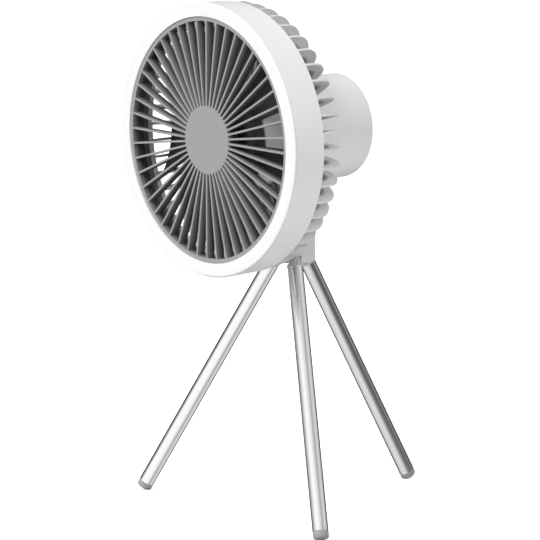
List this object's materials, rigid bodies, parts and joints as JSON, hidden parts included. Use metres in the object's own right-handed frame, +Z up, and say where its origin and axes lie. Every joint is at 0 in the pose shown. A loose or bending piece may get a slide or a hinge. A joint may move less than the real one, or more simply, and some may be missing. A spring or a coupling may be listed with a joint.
{
  "type": "camping fan",
  "caption": "Round caged fan with a light ring around its grille, a battery housing behind, a tilting neck and a folding tripod of polished tubes.",
  "frame": {"origin": "on the floor, at the middle of the object's bounding box", "axes": "+Z up, -Y the way the fan blows, X across the fan; the tripod's upright axis stands 17.9 mm in front of the origin"},
  "size_m": [0.1846, 0.1758, 0.3265],
  "materials": {
    "white_shell": "fine satin, moulded",
    "opal_light": "opal, smooth",
    "grey_grille": "satin, moulded",
    "dark_impeller": "satin, moulded",
    "panel_grey": "satin, moulded",
    "button_grey": "satin, moulded",
    "bail_metal": "plated, smooth",
    "polished_tube": "bright polished",
    "knuckle_grey": "satin, moulded",
    "foot_rubber": "soft grey",
    "steel": "plain",
    "washer_nylon": "natural nylon",
    "circuit_board": "white solder mask",
    "light_chip": "phosphor",
    "switch_black": "moulded",
    "indicator_clear": "clear",
    "cell_sleeve": "shrink sleeve",
    "copper_wire": "enamelled wire",
    "magnet_ferrite": "sintered"
  },
  "bodies": {
    "stand": {"neck": "white_shell", "base_plate": "white_shell", "base_screw": "steel", "leg_pins": "steel"},
    "head": {"side_shell": "white_shell", "light_ring": "opal_light", "light_board": "circuit_board", "light_chips": "light_chip", "shell_screws": "steel", "front_grille": "grey_grille", "rear_guard": "white_shell", "battery_housing": "white_shell", "rear_panel": "panel_grey", "control_board": "circuit_board", "button_switches": "switch_black", "indicator_pipes": "indicator_clear", "charging_port": "steel", "battery_cells": "cell_sleeve", "cell_spacers": "washer_nylon", "bearing_tube": "steel", "shaft_bearings": "steel", "motor_stator": "steel", "stator_coils": "copper_wire", "tilt_yoke": "white_shell", "yoke_screws": "steel", "tilt_bolt": "steel", "tilt_nut": "steel", "tilt_washers": "washer_nylon", "tilt_caps": "white_shell"},
    "impeller": {"impeller": "dark_impeller", "rotor_can": "steel", "rotor_magnet": "magnet_ferrite", "motor_shaft": "steel"},
    "speed_button": {"speed_button": "button_grey"},
    "light_button": {"light_button": "button_grey"},
    "hanging_bail": {"hanging_bail": "bail_metal"},
    "leg_right": {"leg_knuckle_right": "knuckle_grey", "leg_tube_right": "polished_tube", "leg_foot_right": "foot_rubber"},
    "leg_rear": {"leg_knuckle_rear": "knuckle_grey", "leg_tube_rear": "polished_tube", "leg_foot_rear": "foot_rubber"},
    "leg_left": {"leg_knuckle_left": "knuckle_grey", "leg_tube_left": "polished_tube", "leg_foot_left": "foot_rubber"}
  },
  "joints": [
    {"name": "tilt", "type": "hinge", "parent": "stand", "child": "head", "pos_m": [0, -0.01787, 0.186], "axis": [-1, 0, 0], "range_deg": [-20, 80]},
    {"name": "fold_right", "type": "hinge", "parent": "stand", "child": "leg_right", "pos_m": [0.00797, -0.02247, 0.1627], "axis": [0.5, 0.866, 0], "range_deg": [0, 30]},
    {"name": "fold_rear", "type": "hinge", "parent": "stand", "child": "leg_rear", "pos_m": [0, -0.00868, 0.1627], "axis": [-1, 0, 0], "range_deg": [0, 30]},
    {"name": "fold_left", "type": "hinge", "parent": "stand", "child": "leg_left", "pos_m": [-0.00797, -0.02247, 0.1627], "axis": [0.5, -0.866, 0], "range_deg": [0, 30]},
    {"name": "impeller_spin", "type": "hinge", "parent": "head", "child": "impeller", "pos_m": [0, -0.06788, 0.241], "axis": [0, 1, 0], "continuous": true},
    {"name": "bail_swing", "type": "hinge", "parent": "head", "child": "hanging_bail", "pos_m": [0, 0.01992, 0.241], "axis": [1, 0, 0], "range_deg": [0, 95]},
    {"name": "speed_press", "type": "slide", "parent": "head", "child": "speed_button", "axis": [0, -1, 0], "range_m": [0, 0.0006], "stiffness_N_per_m": 1000, "springref_m": -0.0005},
    {"name": "light_press", "type": "slide", "parent": "head", "child": "light_button", "axis": [0, -1, 0], "range_m": [0, 0.0006], "stiffness_N_per_m": 1000, "springref_m": -0.0005}
  ]
}
